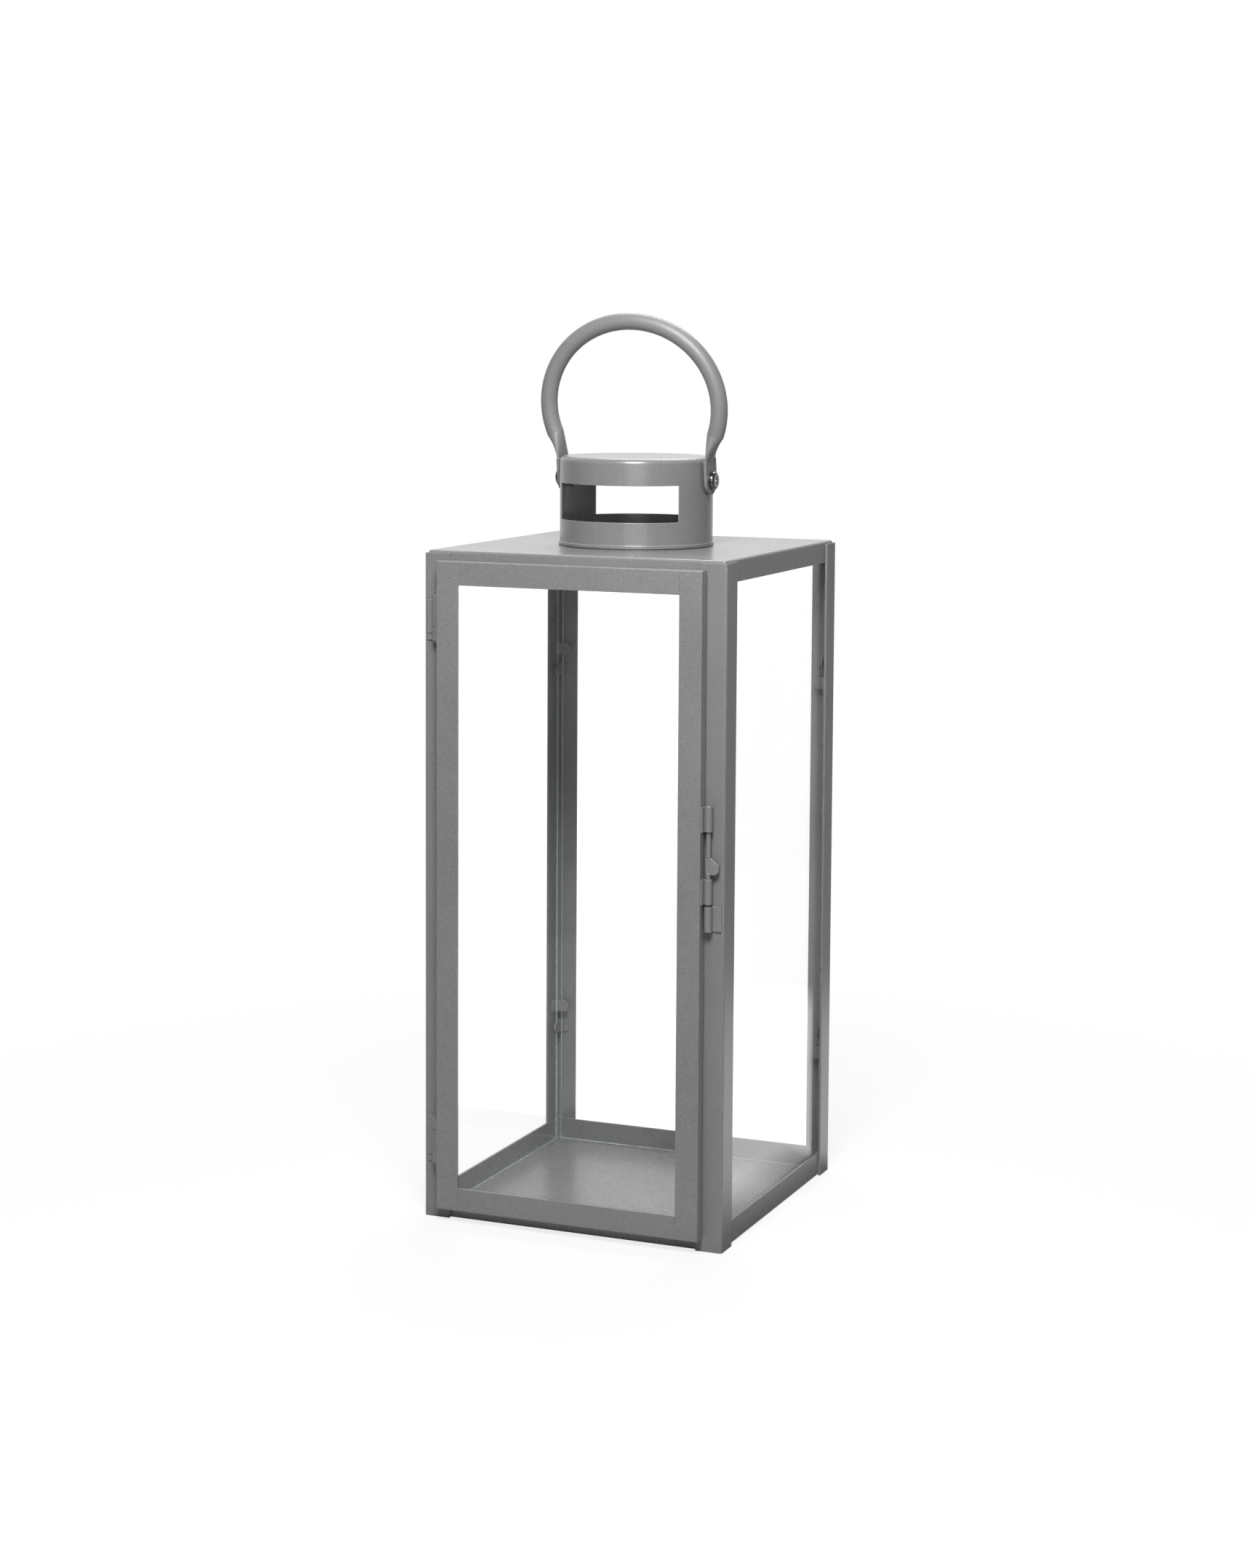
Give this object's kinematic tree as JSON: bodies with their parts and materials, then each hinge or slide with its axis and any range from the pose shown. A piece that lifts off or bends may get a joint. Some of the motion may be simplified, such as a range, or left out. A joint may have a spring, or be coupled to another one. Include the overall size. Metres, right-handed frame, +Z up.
{
  "type": "candle lantern",
  "caption": "Square sheet-steel candle lantern with glass sides, a hinged and bolted glass door, a vented round chimney and a swinging bail handle.",
  "frame": {"origin": "middle of the square footprint of the posts, on the ground", "axes": "+Z up, +X to the right seen from the door, -Y out of the door"},
  "size_m": [0.14, 0.1465, 0.3971],
  "materials": {
    "coated_steel": "satin grey powder coat",
    "glass": "clear float glass",
    "plated_steel": "bright plated"
  },
  "bodies": {
    "frame": {"base_tray": "coated_steel", "roof_plate": "coated_steel", "post_front_left": "coated_steel", "post_front_right": "coated_steel", "post_back_left": "coated_steel", "post_back_right": "coated_steel", "chimney_drum": "coated_steel", "glass_left": "glass", "glass_right": "glass", "glass_back": "glass", "glass_left_clips": "coated_steel", "glass_right_clips": "coated_steel", "glass_back_clips": "coated_steel", "upper_hinge_post_leaf": "coated_steel", "lower_hinge_post_leaf": "coated_steel", "upper_hinge_pin": "coated_steel", "lower_hinge_pin": "coated_steel", "bolt_keeper": "coated_steel", "bail_screws": "plated_steel", "bail_nuts": "plated_steel", "bail_washers": "plated_steel"},
    "door": {"door_hinge_stile": "coated_steel", "door_latch_stile": "coated_steel", "door_top_rail": "coated_steel", "door_bottom_rail": "coated_steel", "door_glass": "glass", "door_glass_clips": "coated_steel", "upper_hinge_door_leaf": "coated_steel", "lower_hinge_door_leaf": "coated_steel", "bolt_guide_upper": "coated_steel", "bolt_guide_lower": "coated_steel"},
    "bolt": {"latch_bolt": "coated_steel"},
    "bail": {"bail_handle": "coated_steel"}
  },
  "joints": [
    {"name": "door_swing", "type": "hinge", "parent": "frame", "child": "door", "pos_m": [-0.06335, -0.07205, 0.15], "axis": [0, 0, -1], "range_deg": [0, 120]},
    {"name": "bolt_slide", "type": "slide", "parent": "door", "child": "bolt", "axis": [0, 0, 1], "range_m": [-0.0018, 0.009]},
    {"name": "bail_swing", "type": "hinge", "parent": "frame", "child": "bail", "pos_m": [0, 0, 0.3238], "axis": [1, 0, 0], "range_deg": [-117.5, 102.5]}
  ]
}
